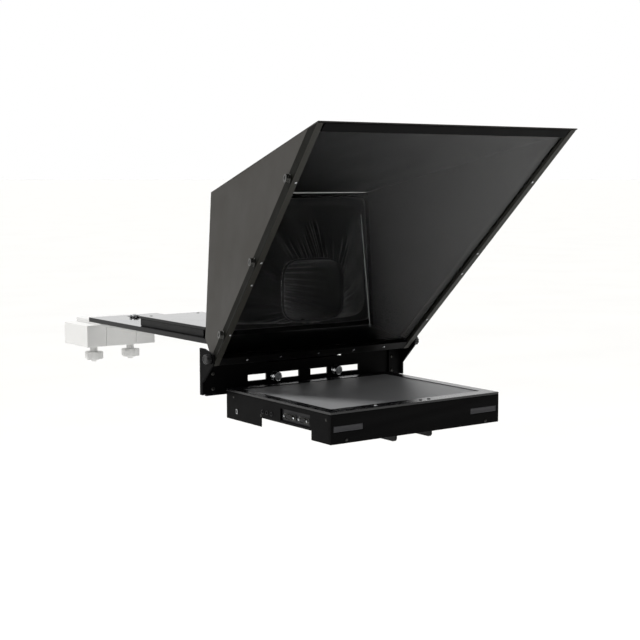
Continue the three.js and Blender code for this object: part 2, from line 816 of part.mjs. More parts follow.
function weightBlocks() {
  const top = -2 * gap - carriage.thick;
  const height = [top - weight.height, top];
  const depth = [weight.front, weight.rear];
  const middle = box([-weight.seam + gap, weight.seam - gap], depth, height);
  const ends = sides.map(({ word, sign }) => {
    const block = box(span(sign, weight.seam, weight.halfWidth), depth, height);
    const hole = turnedAt([[5.6, -100], [5.6, 0]], [sign * weightKnob.x, weightKnob.y, 0], Z);
    return piece(`counterweight_${word}`, cut(block, hole), paleEnamel());
  });
  return [piece("counterweight_middle", middle, paleEnamel()), ...ends];
}

// Five-lobed hand knob with its stud, under a weight.
function weightKnobPiece({ word, sign }) {
  const { radius, height, stem, tip } = weightKnob;
  const points = 40;
  const lobes = Array.from({ length: points }, (_, i) => {
    const angle = (2 * Math.PI * i) / points;
    const r = radius * (1 + 0.13 * Math.cos(5 * angle));
    return [r * Math.cos(angle), r * Math.sin(angle)];
  });
  const grip = new THREE.ExtrudeGeometry(outline(lobes), { depth: height, bevelEnabled: false });
  const seat = -3 * gap - carriage.thick - weight.height;
  const low = seat - stem - height;
  grip.translate(0, 0, low);
  const stud = turned([[6, low - tip], [9, low + 1], [9, seat], [5, seat], [5, -gap - 4]]);
  const made = piece(`weight_knob_${word}`, join(grip, stud), paleEnamel());
  made.position.set(sign * weightKnob.x, weightKnob.y, 0);
  return made;
}

// ---- assembly -----------------------------------------------------------------------------
const teleprompter = new THREE.Group();
teleprompter.name = "teleprompter";
const assembly = new THREE.Group();
assembly.position.z = tripodPlate.thick + gap;
teleprompter.add(assembly);

assembly.add(tripodAdapter(), basePlate(), frontSpacer(), bulkheadPlate());
assembly.add(...sides.map(hingeEar), ...sides.map(hingeKnob));
assembly.add(...sides.map(supportArm), ...sides.map(clampWasher), ...sides.map(clampScrew));

const monitorGroup = new THREE.Group();
monitorGroup.position.set(0, monitor.front, monitor.top);
monitorGroup.add(monitorCasing(), monitorFloor(), frontFascia(), topBezel());
monitorGroup.add(screenGlass(), lcdPanel(), driverBoard(), socketPanel());
monitorGroup.add(socketShell("video_socket", 64, 96), socketShell("data_socket", 104, 140));
monitorGroup.add(...Object.entries(buttonXs).map(([name, x]) => pressButton(name, x)));
assembly.add(monitorGroup);

const hoodGroup = new THREE.Group();
hoodGroup.position.set(0, hoodFoot.y, hoodFoot.z);
const glassFrame = new THREE.Group();
glassFrame.rotation.x = Math.PI - slope;
glassFrame.add(...sides.map(sideRail), bottomRail(), topRail(), beamSplitter());
sides.forEach((side) =>
  glassFrame.add(...railScrews.map((along, i) => hoodScrew(side, along, i + 1))),
);
hoodGroup.add(glassFrame, ...sides.map(sideSheet), roofSheet(), floorSheet());
hoodGroup.add(rearFrame(), lensShroud());
assembly.add(hoodGroup);

assembly.add(...sides.map(riserRail), cameraPlateBody(), cameraScrew(), ...plateLock());
assembly.add(weightCarriage(), carriageBolt(), ...weightBlocks());
assembly.add(...sides.map(weightKnobPiece));

export default teleprompter;
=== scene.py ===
import json
import math

import bmesh
import bpy
import numpy as np
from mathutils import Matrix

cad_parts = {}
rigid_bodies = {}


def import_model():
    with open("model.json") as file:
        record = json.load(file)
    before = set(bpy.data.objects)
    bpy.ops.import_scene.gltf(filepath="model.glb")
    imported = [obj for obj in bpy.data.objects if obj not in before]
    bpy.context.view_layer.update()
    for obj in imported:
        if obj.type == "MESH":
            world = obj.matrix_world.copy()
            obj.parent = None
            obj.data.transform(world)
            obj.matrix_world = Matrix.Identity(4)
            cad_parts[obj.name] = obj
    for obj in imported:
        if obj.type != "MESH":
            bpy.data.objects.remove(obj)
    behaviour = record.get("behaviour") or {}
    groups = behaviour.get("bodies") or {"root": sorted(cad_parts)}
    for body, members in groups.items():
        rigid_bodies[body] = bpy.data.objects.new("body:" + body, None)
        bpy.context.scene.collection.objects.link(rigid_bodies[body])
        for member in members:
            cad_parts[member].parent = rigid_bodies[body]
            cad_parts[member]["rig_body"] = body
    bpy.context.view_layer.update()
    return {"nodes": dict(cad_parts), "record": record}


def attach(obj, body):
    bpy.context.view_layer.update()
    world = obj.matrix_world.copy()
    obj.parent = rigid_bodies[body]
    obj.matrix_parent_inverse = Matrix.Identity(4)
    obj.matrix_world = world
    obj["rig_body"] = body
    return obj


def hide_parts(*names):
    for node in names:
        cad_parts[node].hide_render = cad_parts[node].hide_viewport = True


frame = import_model()

MM = 0.001
LIFT = 8.3 * MM  # the base plate's underside above the tripod face
BODY = {name: node["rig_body"] for name, node in frame["nodes"].items()}
SLOT = {row["node"]: row["material_slot"] for row in frame["record"]["subparts"]}
SIDES = (("left", -1), ("right", 1))
MERGE = 1e-6  # metres; points nearer than this are one
SOFT_ANGLE = 32  # degrees; blunter edges are shaded smooth


# ---- camera and light ---------------------------------------------------------------------
def place_camera():
    """A long lens at the speaker's left, above the hood's foot and aimed slightly down."""
    pitch_down, turn_right = 5.984, 35.969
    data = bpy.data.cameras.new("camera")
    data.lens, data.sensor_width = 76.31, 36
    camera = bpy.data.objects.new("camera", data)
    camera.location = (-1.508584, -2.416664, 0.343855)
    camera.rotation_euler = (math.radians(90 - pitch_down), 0, math.radians(-turn_right))
    bpy.context.scene.collection.objects.link(camera)
    bpy.context.scene.camera = camera


place_camera()
bpy.context.scene.view_settings.view_transform = "Standard"


def linear(hex_colour):
    """An sRGB hex colour as linear red, green, blue and alpha."""
    parts = [int(hex_colour[i:i + 2], 16) / 255 for i in (0, 2, 4)]
    return (*[p / 12.92 if p <= 0.04045 else ((p + 0.055) / 1.055) ** 2.4 for p in parts], 1.0)


def add(tree, kind, settings=(), links=()):
    """Adds a node; settings are its properties or unlinked inputs, links its linked inputs."""
    node = tree.nodes.new("ShaderNode" + kind)
    for key, value in dict(settings).items():
        if isinstance(key, str) and hasattr(node, key):
            setattr(node, key, value)
        else:
            node.inputs[key].default_value = value
    for key, source in dict(links).items():
        tree.links.new(source, node.inputs[key])
    return node


def light_panel(name, place, aim, size, power, tint):
    """A soft square lamp that faces a point."""
    data = bpy.data.lights.new(name, "AREA")
    data.shape, data.size, data.energy, data.color = "SQUARE", size, power, linear(tint)[:3]
    lamp = bpy.data.objects.new(name, data)
    lamp.location = place
    away = np.subtract(place, aim)
    flat = math.hypot(away[0], away[1])
    lamp.rotation_euler = (math.atan2(flat, away[2]), 0, math.atan2(away[0], -away[1]))
    bpy.context.scene.collection.objects.link(lamp)


def studio():
    """Pale surround, bright behind the object and to its right, dim on the speaker's side."""
    world = bpy.data.worlds.new("studio")
    world.use_nodes = True
    bpy.context.scene.world = world
    tree = world.node_tree
    tree.nodes.clear()
    place = add(tree, "TexCoord")
    facing = add(tree, "VectorMath", {"operation": "DOT_PRODUCT", 1: (0.5, 0.87, 0)},
                 {0: place.outputs["Generated"]})
    across = add(tree, "MapRange", {"From Min": -0.2, "From Max": 0.9, "To Min": 0.12, "To Max": 1.15},
                 {"Value": facing.outputs["Value"]})
    seen = add(tree, "LightPath")
    strength = add(tree, "Mix", {"data_type": "FLOAT", 3: 1.0},
                   {0: seen.outputs["Is Camera Ray"], 2: across.outputs[0]})
    surround = add(tree, "Background", {"Color": linear("ffffff")}, {"Strength": strength.outputs[0]})
    add(tree, "OutputWorld", links={"Surface": surround.outputs[0]})
    key = bpy.data.lights.new("key", "SUN")
    key.energy, key.angle, key.color = 2.6, math.radians(14), linear("fffefc")[:3]
    lamp = bpy.data.objects.new("key", key)
    lamp.rotation_euler = (math.radians(-12), math.radians(-36), 0)
    bpy.context.scene.collection.objects.link(lamp)
    light_panel("side", (-2.8, -0.9, 1.3), (0, -0.3, 0.15), 1.6, 20, "fffefc")
    light_panel("top", (0.2, 0.9, 2.4), (0, -0.2, 0.1), 1.6, 24, "ffffff")


studio()


# ---- materials ----------------------------------------------------------------------------
def start(name):
    """A new material with a principled shader, and its object coordinates."""
    material = bpy.data.materials.new(name)
    material.use_nodes = True
    tree = material.node_tree
    return material, tree, tree.nodes["Principled BSDF"], add(tree, "TexCoord").outputs["Object"]


def grain(tree, where, size, detail=3.0):
    """Noise whose grains are about this many metres across."""
    return add(tree, "TexNoise", {"Scale": 1 / size, "Detail": detail}, {"Vector": where})


def between(tree, factor, low, high):
    """A colour that runs between two hex colours with a factor."""
    mixed = add(tree, "Mix", {"data_type": "RGBA", 6: linear(low), 7: linear(high)}, {0: factor})
    return mixed.outputs[2]


def spread(tree, value, low, high):
    """A value from noise, which keeps mostly to its middle third, stretched between two numbers."""
    limits = {"From Min": 0.35, "From Max": 0.65, "To Min": low, "To Max": high}
    return add(tree, "MapRange", limits, {"Value": value}).outputs[0]


def bump(tree, shader, height, depth):
    """Raises the surface by a height field of this depth in metres."""
    raised = add(tree, "Bump", {"Strength": 1.0, "Distance": depth}, {"Height": height})
    tree.links.new(raised.outputs[0], shader.inputs["Normal"])


def coated(name, low, high, roughness, grit, depth, metallic=0.0, specular=0.5, ior=1.5):
    """A finish with a fine grit, faint clouding of its colour and an uneven gloss.

    The grit's size and depth are in millimetres.
    """
    material, tree, shader, where = start(name)
    clouds = grain(tree, where, 45 * MM, 4)
    fine = grain(tree, where, grit * MM)
    tree.links.new(between(tree, clouds.outputs[0], low, high), shader.inputs["Base Color"])
    gloss = spread(tree, clouds.outputs[0], roughness[0], roughness[1])
    tree.links.new(gloss, shader.inputs["Roughness"])
    bump(tree, shader, fine.outputs[0], depth * MM)
    shader.inputs["Metallic"].default_value = metallic
    shader.inputs["Specular IOR Level"].default_value = specular
    shader.inputs["IOR"].default_value = ior
    return material


# Bead-blasted aluminium, hard anodised black: a satin metal with a grit of about 0.9 mm.
ANODISED = coated("anodised_aluminium_bead_blasted", "060607", "0b0b0c", (0.3, 0.42), 0.9, 0.02,
                  metallic=0.5, specular=0.2)
# The base plate's and the camera plate's anodising is finer and glossier, so that it picks up the
# pale room at a low angle.
PLATE = coated("anodised_aluminium_milled", "0a0a0b", "101011", (0.06, 0.11), 0.7, 0.002,
               metallic=0.6, specular=0.3)
# The hood's side rails, anodised to a warm dark grey.
RAIL = coated("anodised_aluminium_warm", "22211d", "2a2924", (0.42, 0.55), 0.9, 0.03,
              metallic=0.2, specular=0.3)
# The side rails' outer faces get a darker, duller copy of the rail anodising: painted shade.
RAIL_PAINTED_SHADE = coated("anodised_aluminium_painted_shade", "0b0b08", "10100c", (0.6, 0.7), 0.9, 0.03,
                   specular=0.05)
# Powder coat on steel sheet: black, with an orange peel of about 1.6 mm.
POWDER = coated("powder_coat_on_steel", "040404", "070708", (0.4, 0.5), 1.6, 0.03, specular=0.04)
# Injection-moulded ABS with a spark-eroded texture.
ABS = coated("abs_moulded", "0c0c0d", "141415", (0.38, 0.5), 0.8, 0.04, specular=0.4, ior=1.54)
# Nickel plate over turned steel: bright, with slight clouding.
NICKEL = coated("nickel_plated_steel", "b4b6b8", "d2d4d6", (0.14, 0.26), 2.2, 0.01, metallic=1.0)
# Stoved enamel on cast iron weights: pale, softly glossy, with a slight orange peel.
ENAMEL = coated("stoved_enamel_pale", "cacac9", "d8d8d7", (0.4, 0.55), 3.0, 0.06, specular=0.3)
# Blackened zinc-plated steel of the socket panel.
ZINC = coated("zinc_plated_steel_blackened", "1c1c1e", "2a2a2c", (0.3, 0.45), 2.5, 0.02,
              metallic=0.8)
# Epoxy-glass circuit board with its solder resist.
BOARD = coated("circuit_board_solder_resist", "123a20", "1f5230", (0.35, 0.5), 1.2, 0.03)
# Folded aluminium back of the display module.
MODULE = coated("aluminium_sheet_mill_finish", "7d8084", "9a9da1", (0.32, 0.45), 1.5, 0.02,
                metallic=0.9)
# Moulded black nylon of the sockets' insulators and of the small round ports.
INSULATOR = coated("nylon_moulded", "0a0a0b", "121214", (0.5, 0.6), 0.8, 0.03, specular=0.3)
# Darker nickel on most small screws and on the sockets' shells.
SCREW = coated("nickel_plated_screw_steel", "2e2e2c", "454543", (0.18, 0.28), 1.6, 0.012,
               metallic=0.95)
# Grey extruded strips pressed into the fascia's grooves.
STRIP = coated("pvc_strip_extruded", "26262a", "323236", (0.4, 0.5), 1.0, 0.02, specular=0.4)
# The power button's pale acetal.
PALE_PLASTIC = coated("acetal_moulded_pale", "9a9c9e", "b2b4b6", (0.35, 0.45), 0.8, 0.02)


def board_skin():
    """Foamed hood board, embossed with leather-like cells of about 1.6 mm, matt and warm grey."""
    material, tree, shader, where = start("foamed_board_embossed")
    clouds = grain(tree, where, 90 * MM, 5)
    cells = add(tree, "TexVoronoi", {"Scale": 1 / (1.6 * MM), "feature": "DISTANCE_TO_EDGE"},
                {"Vector": where})
    fine = grain(tree, where, 1.1 * MM, 2)
    both = add(tree, "Math", {"operation": "MULTIPLY_ADD", 1: 0.6},
               {0: cells.outputs[0], 2: fine.outputs[0]})
    base = between(tree, clouds.outputs[0], "282623", "312f2b")
    speck = spread(tree, fine.outputs[0], 0.86, 1.1)
    tinted = add(tree, "VectorMath", {"operation": "SCALE"}, {0: base, "Scale": speck})
    tree.links.new(tinted.outputs[0], shader.inputs["Base Color"])
    tree.links.new(spread(tree, clouds.outputs[0], 0.62, 0.75), shader.inputs["Roughness"])
    shader.inputs["Specular IOR Level"].default_value = 0.3
    bump(tree, shader, both.outputs[0], 0.12 * MM)
    return material


def black_lining():
    """Satin black lacquer inside the hood, with faint long roller marks."""
    material, tree, shader, where = start("satin_lacquer_inside_hood")
    stretch = add(tree, "Mapping", {"Scale": (1, 0.2, 1)}, {"Vector": where})
    marks = grain(tree, stretch.outputs[0], 60 * MM, 2)
    tree.links.new(between(tree, marks.outputs[0], "050506", "08080a"), shader.inputs["Base Color"])
    tree.links.new(spread(tree, marks.outputs[0], 0.42, 0.48), shader.inputs["Roughness"])
    shader.inputs["Specular IOR Level"].default_value = 0.05
    return material


def woven_cloth(name, low, high, thread):
    """Plain weave of nylon: two crossed sets of threads that follow the cloth's own map.

    The real thread pitch is about 0.4 mm; it is drawn coarser so that the weave shows.
    """
    material, tree, shader, where = start(name)
    uv = add(tree, "UVMap", {"uv_map": "cloth"})
    axes = add(tree, "SeparateXYZ", links={0: uv.outputs[0]})
    waves = []
    for axis in ("X", "Y"):
        turns = add(tree, "Math", {"operation": "MULTIPLY", 1: math.pi / thread},
                    {0: axes.outputs[axis]})
        wave = add(tree, "Math", {"operation": "SINE"}, {0: turns.outputs[0]})
        waves.append(add(tree, "Math", {"operation": "ABSOLUTE"}, {0: wave.outputs[0]}).outputs[0])
    weave = add(tree, "Math", {"operation": "ADD"}, {0: waves[0], 1: waves[1]})
    clouds = grain(tree, where, 30 * MM, 4)
    tree.links.new(between(tree, clouds.outputs[0], low, high), shader.inputs["Base Color"])
    tree.links.new(spread(tree, clouds.outputs[0], 0.62, 0.78), shader.inputs["Roughness"])
    shader.inputs["Sheen Weight"].default_value = 0.25
    shader.inputs["Sheen Roughness"].default_value = 0.45
    shader.inputs["Specular IOR Level"].default_value = 0.3
    bump(tree, shader, weave.outputs[0], 0.15 * MM)
    return material


def brushed_bezel():
    """Black lacquered bezel, rubbed to a soft shine along its length."""
    material, tree, shader, where = start("lacquered_bezel")
    stretch = add(tree, "Mapping", {"Scale": (0.06, 1, 1)}, {"Vector": where})
    lines = grain(tree, stretch.outputs[0], 1.2 * MM, 3)
    tree.links.new(between(tree, lines.outputs[0], "0d0d0e", "161618"), shader.inputs["Base Color"])
    tree.links.new(spread(tree, lines.outputs[0], 0.2, 0.3), shader.inputs["Roughness"])
    bump(tree, shader, lines.outputs[0], 0.01 * MM)
    return material


def display_glass():
    """Anti-glare display face under clear glass, slightly cloudy; its pale grey colour is painted
    reflection of the pale room and painted light in the hood's shade.
    """
    material, tree, shader, where = start("display_glass_anti_glare")
    clouds = grain(tree, where, 160 * MM, 2)
    fine = grain(tree, where, 0.9 * MM, 1)
    # Pale grey base colour: painted reflection and painted light, far paler than the screen itself.
    tree.links.new(between(tree, clouds.outputs[0], "8a8b8d", "98999b"), shader.inputs["Base Color"])
    tree.links.new(spread(tree, fine.outputs[0], 0.42, 0.46), shader.inputs["Roughness"])
    bump(tree, shader, fine.outputs[0], 0.004 * MM)
    return material


def splitter_glass():
    """Part-mirrored glass with a thin neutral coating, more opaque towards the upper right as a painted
    reflection there.
    """
    material, tree, shader, where = start("part_mirrored_glass")
    clouds = grain(tree, where, 200 * MM, 2)
    tree.links.new(between(tree, clouds.outputs[0], "0a0c0e", "101214"), shader.inputs["Base Color"])
    tree.links.new(spread(tree, clouds.outputs[0], 0.24, 0.28), shader.inputs["Roughness"])
    # Painted reflection: the glass turns more opaque, so shinier, towards the upper right.
    height = add(tree, "VectorMath", {"operation": "DOT_PRODUCT", 1: (0.6, 0, 0.8)}, {0: where})
    painted_reflection_rise = add(tree, "MapRange", {"From Min": 0.1, "From Max": 0.42, "To Min": 0.02, "To Max": 0.42},
                  {"Value": height.outputs["Value"]})
    tree.links.new(painted_reflection_rise.outputs[0], shader.inputs["Alpha"])
    shader.inputs["Specular IOR Level"].default_value = 0.7
    shader.inputs["IOR"].default_value = 1.6
    return material


HOOD_SKIN, HOOD_LINING = board_skin(), black_lining()
SHROUD_CLOTH = woven_cloth("nylon_plain_weave", "0c0c0e", "131315", 1.4 * MM)
# The hems' cloth is paler than the shroud's: a ribbed elastic, and partly a painted highlight for the
# light rim round the mouth.
HEM_CLOTH = woven_cloth("nylon_ribbed_elastic", "141416", "1e1e20", 1.8 * MM)
BEZEL, DISPLAY, SPLITTER = brushed_bezel(), display_glass(), splitter_glass()

NODE_FINISH = {
    "black_anodised_aluminium": ANODISED, "black_powder_coated_steel": POWDER, "black_abs": ABS,
    "hood_board": HOOD_SKIN, "shroud_cloth": SHROUD_CLOTH, "chromed_steel": NICKEL,
    "pale_grey_enamel": ENAMEL, "screen_glass": DISPLAY, "beam_splitter_glass": SPLITTER,
    "lcd_module": MODULE, "circuit_board": BOARD, "socket_steel": ZINC,
}


# ---- making pieces ------------------------------------------------------------------------
def bring_in(name, mesh, body, materials, node=None, smooth=True):
    """Puts a mesh in the scene on its body, with its finishes and the nodes it stands for."""
    piece = bpy.data.objects.new(name, mesh)
    bpy.context.scene.collection.objects.link(piece)
    for material in materials:
        mesh.materials.append(material)
    mesh.polygons.foreach_set("use_smooth", np.full(len(mesh.polygons), smooth))
    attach(piece, body)
    if node:
        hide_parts(node)
    return piece


def grid_faces(rows, columns, close_rows=False, close_columns=False):
    """Corner numbers of the quads of a grid, wrapped round where it closes."""
    i = np.arange(rows if close_rows else rows - 1)[:, None]
    j = np.arange(columns if close_columns else columns - 1)[None, :]
    i2, j2 = (i + 1) % rows, (j + 1) % columns
    here, below = i * columns, i2 * columns
    corners = np.broadcast_arrays(here + j, here + j2, below + j2, below + j)
    return np.stack(corners, -1).reshape(-1, 4)


def mesh_of(name, points, faces, face_material=None, uv=None):
    """A mesh from points and faces, with a material number for each face and a cloth map."""
    mesh = bpy.data.meshes.new(name)
    mesh.from_pydata(np.asarray(points, float).reshape(-1, 3).tolist(), [], np.asarray(faces).tolist())
    if face_material is not None:
        mesh.polygons.foreach_set("material_index", np.asarray(face_material, np.int32))
    if uv is not None:
        layer = mesh.uv_layers.new(name="cloth")
        corners = np.zeros(len(mesh.loops), np.int32)
        mesh.loops.foreach_get("vertex_index", corners)
        layer.data.foreach_set("uv", np.asarray(uv, float).reshape(-1, 2)[corners].ravel())
    return mesh


def tidy_mesh(mesh):
    """Merges doubled points, drops empty faces and turns the faces outward."""
    work = bmesh.new()
    work.from_mesh(mesh)
    bmesh.ops.remove_doubles(work, verts=work.verts, dist=MERGE)
    bmesh.ops.dissolve_degenerate(work, edges=work.edges, dist=MERGE)
    bmesh.ops.recalc_face_normals(work, faces=work.faces)
    work.to_mesh(mesh)
    work.free()


def keep_sharp(mesh, degrees=SOFT_ANGLE):
    """Keeps the edges of a smooth mesh crisp where they are sharper than an angle."""
    mesh.set_sharp_from_angle(angle=math.radians(degrees))


def milled(node, edge, material):
    """A CAD node again with its edges rounded by a small radius."""
    mesh = frame["nodes"][node].data.copy()
    mesh.materials.clear()
    work = bmesh.new()
    work.from_mesh(mesh)
    bmesh.ops.remove_doubles(work, verts=work.verts, dist=MERGE)
    bmesh.ops.dissolve_limit(work, angle_limit=math.radians(0.5), verts=work.verts, edges=work.edges)
    work.to_mesh(mesh)
    work.free()
    piece = bring_in(node + "_finished", mesh, BODY[node], [material], node)
    keep_sharp(mesh)
    rounding = piece.modifiers.new("edges", "BEVEL")
    rounding.width, rounding.segments = edge, 2
    rounding.limit_method, rounding.angle_limit = "ANGLE", math.radians(SOFT_ANGLE)
    rounding.harden_normals = True


def axes_for(direction):
    """Three unit axes whose last one is along a direction."""
    w = np.asarray(direction, float)
    w = w / np.linalg.norm(w)
    side = np.array([0.0, 0.0, 1.0]) if abs(w[2]) < 0.9 else np.array([1.0, 0.0, 0.0])
    u = np.cross(side, w)
    u /= np.linalg.norm(u)
    return u, np.cross(w, u), w


def turned(name, steps, place, direction, material, body, node, sides, ripple=None):
    """A turned piece: steps of (radius, height) carried round an axis through a place.

    Point = place + r cos(a) u + r sin(a) v + h w, where ripple(a, h, r) gives a new radius.
    """
    steps = np.array(steps, float) * MM
    angle = np.arange(sides) * 2 * math.pi / sides
    radius = np.repeat(steps[:, :1], sides, 1)
    height = np.repeat(steps[:, 1:], sides, 1)
    if ripple is not None:
        radius = ripple(angle[None, :], height, radius)
    u, v, w = axes_for(direction)
    points = (np.asarray(place) + (radius * np.cos(angle))[..., None] * u
              + (radius * np.sin(angle))[..., None] * v + height[..., None] * w)
    mesh = mesh_of(name, points, grid_faces(len(steps), sides, close_columns=True))
    tidy_mesh(mesh)
    bring_in(name, mesh, body, [material], node)
    keep_sharp(mesh, 38)


def knurl(low, high, count, depth):
    """Diamond knurling on the part of a screw's head between two heights, in millimetres."""
    def ripple(angle, height, radius):
        turn = (height - low * MM) / ((high - low) * MM) * math.pi
        ridge = np.abs(np.sin(angle * count / 2 + turn)) + np.abs(np.sin(angle * count / 2 - turn))
        on_head = (height > low * MM) & (height < high * MM)
        return radius - np.where(on_head, depth * MM * ridge, 0)
    return ripple


def knurled_steps(shank, seat, head, top):
    """Steps of a thumb screw: shank radius and start, then a head from seat to top."""
    rim, rows = 0.8, 9
    body = [(head, z) for z in np.linspace(seat + rim, top - rim, rows)]
    return [(0, shank[1]), (shank[0] - 0.6, shank[1]), (shank[0], shank[1] + 0.8), (shank[0], seat),
            (head - rim, seat), *body, (head - rim, top), (head * 0.55, top), (head * 0.5, top - 0.8),
            (0, top - 0.8)]


# ---- hood geometry ------------------------------------------------------------------------
SLOPE = math.radians(47)
FOOT = np.array([0, -324.2, -5.5]) * MM + np.array([0, 0, LIFT])
GLASS_LENGTH, RAIL_WIDE = 585, 20
REAR = {"y": 80, "top": 314, "bottom": 42, "half_top": 183, "half_bottom": 198}
ROOF_Y, ROOF_Z = -GLASS_LENGTH * math.cos(SLOPE), GLASS_LENGTH * math.sin(SLOPE)
ROOF_FALL = (ROOF_Z - REAR["top"]) / (REAR["y"] - ROOF_Y)
BOARD_THICK, GAP = 2, 0.3


def from_foot(along, behind):
    """(y, z) in millimetres from the hood's foot, for a place up the glass slope and behind it."""
    return (-along * math.cos(SLOPE) + behind * math.sin(SLOPE),
            along * math.sin(SLOPE) + behind * math.cos(SLOPE))


def half_width(y, z):
    """Half width of the hood outside, at a place from its foot."""
    return 230 - 0.23 * y - 0.09 * z


def along_at_roof(behind, drop):
    """Where a line parallel to the glass meets the roof less a drop."""
    y0, z0 = from_foot(0, behind)
    roof = ROOF_Z - ROOF_FALL * (y0 - ROOF_Y)
    return (roof - drop - z0) / (math.sin(SLOPE) - ROOF_FALL * math.cos(SLOPE))


def hood_point(x, y, z):
    """A place from the hood's foot in millimetres, as a place in the row frame in metres."""
    return np.stack(np.broadcast_arrays(x, y, z), -1) * MM + FOOT


def sheet_shell(name, corners, inward, node, bow=0.0):
    """A thin sheet between four corners, with its own skin outside and lining inside.

    Point(s, t) = the bilinear mean of the corners, pushed outward by bow sin(pi s) sin(pi t);
    the inner face is the same surface moved inward by the thickness.
    """
    rows, columns = 17, 25
    s, t = np.meshgrid(np.linspace(0, 1, rows), np.linspace(0, 1, columns), indexing="ij")
    a, b, c, d = (np.asarray(p, float) for p in corners)
    s3, t3 = s[..., None], t[..., None]
    outer = (1 - s3) * ((1 - t3) * a + t3 * b) + s3 * ((1 - t3) * d + t3 * c)
    inward = np.asarray(inward, float)
    outer = outer + (bow * np.sin(math.pi * s) * np.sin(math.pi * t))[..., None] * -inward
    inner = outer + inward * BOARD_THICK
    points = np.concatenate([outer.reshape(-1, 3), inner.reshape(-1, 3)]) * MM + FOOT
    skin = grid_faces(rows, columns)
    lining = skin[:, ::-1] + rows * columns
    ring = np.concatenate([
        np.arange(columns),
        np.arange(1, rows) * columns + columns - 1,
        np.arange(rows * columns - 2, (rows - 1) * columns - 1, -1),
        np.arange(rows - 2, 0, -1) * columns,
    ])
    after = np.roll(ring, -1)
    rim = np.stack([after, ring, ring + rows * columns, after + rows * columns], -1)
    faces = np.concatenate([skin, lining, rim])
    index = np.concatenate([np.zeros(len(skin)), np.ones(len(lining)), np.zeros(len(rim))])
    mesh = mesh_of(name, points, faces, index)
    tidy_mesh(mesh)
    bring_in(name, mesh, BODY[node], [HOOD_SKIN, HOOD_LINING], node)
    keep_sharp(mesh)


def hood_sheets():
    """Two sides, the roof over them and the floor between them, all behind the glass's rails."""
    behind, drop = RAIL_WIDE + GAP, BOARD_THICK + GAP
    for word, sign in SIDES:
        low, high = from_foot(1, behind), from_foot(along_at_roof(behind, drop), behind)
        corners = [
            (sign * half_width(*low), *low),
            (sign * REAR["half_bottom"], REAR["y"], REAR["bottom"]),
            (sign * REAR["half_top"], REAR["y"], REAR["top"] - drop),
            (sign * half_width(*high), *high),
        ]
        sheet_shell(f"hood_side_{word}", corners, (-sign, 0, 0), f"hood_sheet_{word}", bow=0.8)
    front = half_width(ROOF_Y, ROOF_Z)
    roof = [(-front, ROOF_Y, ROOF_Z), (front, ROOF_Y, ROOF_Z),
            (REAR["half_top"], REAR["y"], REAR["top"]), (-REAR["half_top"], REAR["y"], REAR["top"])]
    sheet_shell("hood_roof", roof, (0, 0, -1), "hood_sheet_roof")
    inset, step_up = 2.9, 1.5
    y, z = from_foot(1, behind)
    near, far = half_width(y, z) - inset, REAR["half_bottom"] - inset
    sill = REAR["bottom"] - GAP
    floor = [(-near, y, z + step_up), (near, y, z + step_up),
             (far, REAR["y"], sill), (-far, REAR["y"], sill)]
    sheet_shell("hood_floor", floor, (0, 0, 1), "hood_sheet_floor")


hood_sheets()


# ---- lens shroud --------------------------------------------------------------------------
def rounded_loop(half_x, half_z, power, y, centre, angle, taper=0.0):
    """Superellipse |x/a|^n + |z/b|^n = 1 round a centre height, its width tapering upwards."""
    c, s = np.cos(angle), np.sin(angle)
    r = (np.abs(c / half_x) ** power + np.abs(s / half_z) ** power) ** (-1 / power)
    return np.stack([r * c * (1 - taper * r * s / half_z), np.full_like(angle, y), centre + r * s], -1)


def ease(x):
    """Zero at 0, one at 1, flat at both ends."""
    x = np.clip(x, 0, 1)
    return x * x * (3 - 2 * x)


MOUTH = {"half_x": 69, "half_z": 57.5, "y": 5, "centre": 128}
SLEEVE_END = {"radius": 48, "y": 190}
AT_FOOT, AT_MOUTH = 0.1, 0.6  # shares of the way down the cloth: the flange's foot and the mouth
FLANGE_BACK = 67.6  # the furthest back the flange and funnel may reach


def mouth_loop(wider, behind, angle):
    """The lens opening's outline, wider than it and set back from its front."""
    return rounded_loop(MOUTH["half_x"] + wider, MOUTH["half_z"] + wider, 4, MOUTH["y"] + behind,
                        MOUTH["centre"], angle)


def sleeve_loop(angle):
    """The round outline just before the sleeve's end, where the cuff lies."""
    radius = SLEEVE_END["radius"] + 3
    return rounded_loop(radius, radius, 2, SLEEVE_END["y"] - 3, MOUTH["centre"], angle)


def shroud_path(t, angle):
    """The cloth without folds: a flat flange, a funnel forward to the mouth, a sleeve back."""
    flange = rounded_loop(176, 124, 24, 67.0, 178, angle, 0.04)
    foot = rounded_loop(164, 112, 9, 65.0, 176, angle, 0.04)
    mouth, tail = mouth_loop(3, 4, angle), sleeve_loop(angle)
    t = t[..., None]
    lean = np.clip((t - AT_FOOT) / (AT_MOUTH - AT_FOOT), 0, 1)
    funnel = foot + (mouth - foot) * (0.8 * lean + 0.2 * lean ** 2)
    path = np.where(t < AT_FOOT, flange + (foot - flange) * np.clip(t / AT_FOOT, 0, 1), funnel)
    back = np.clip((t - AT_MOUTH) / (1 - AT_MOUTH), 0, 1)
    return np.where(t > AT_MOUTH, mouth + (tail - mouth) * back, path)


